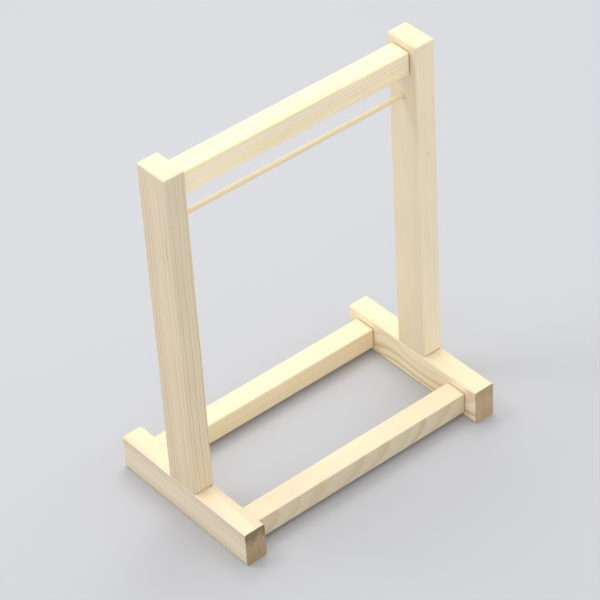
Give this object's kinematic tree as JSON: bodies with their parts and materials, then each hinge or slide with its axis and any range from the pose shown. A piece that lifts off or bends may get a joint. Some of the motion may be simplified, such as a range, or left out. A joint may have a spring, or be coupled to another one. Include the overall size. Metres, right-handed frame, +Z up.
{
  "type": "tabletop loom frame",
  "caption": "Free-standing weaving frame of planed softwood: uprights on long feet, joined by a crossbar, a thin turning rod and raised stretchers.",
  "frame": {"origin": "on the table, under the middle of the frame", "axes": "+X along the crossbar to the right upright, +Y from the sawn front ends of the feet to the back, +Z up"},
  "size_m": [0.241, 0.145, 0.314],
  "materials": {
    "softwood": "planed and sanded, unfinished",
    "rod_wood": "smooth turned stick, unfinished",
    "beech_pin": "fluted, unfinished"
  },
  "bodies": {
    "frame": {"crossbar": "softwood", "foot_left": "softwood", "foot_right": "softwood", "pin_crossbar_left_lower": "beech_pin", "pin_crossbar_left_upper": "beech_pin", "pin_crossbar_right_lower": "beech_pin", "pin_crossbar_right_upper": "beech_pin", "pin_foot_left_back": "beech_pin", "pin_foot_left_front": "beech_pin", "pin_foot_right_back": "beech_pin", "pin_foot_right_front": "beech_pin", "pin_stretcher_back_left_a": "beech_pin", "pin_stretcher_back_left_b": "beech_pin", "pin_stretcher_back_right_a": "beech_pin", "pin_stretcher_back_right_b": "beech_pin", "pin_stretcher_front_left_a": "beech_pin", "pin_stretcher_front_left_b": "beech_pin", "pin_stretcher_front_right_a": "beech_pin", "pin_stretcher_front_right_b": "beech_pin", "stretcher_back": "softwood", "stretcher_front": "softwood", "upright_left": "softwood", "upright_right": "softwood"},
    "rod": {"rod": "rod_wood"}
  },
  "joints": [
    {"name": "rod_spin", "type": "hinge", "parent": "frame", "child": "rod", "pos_m": [0, 0, 0.2665], "axis": [1, 0, 0], "continuous": true}
  ]
}
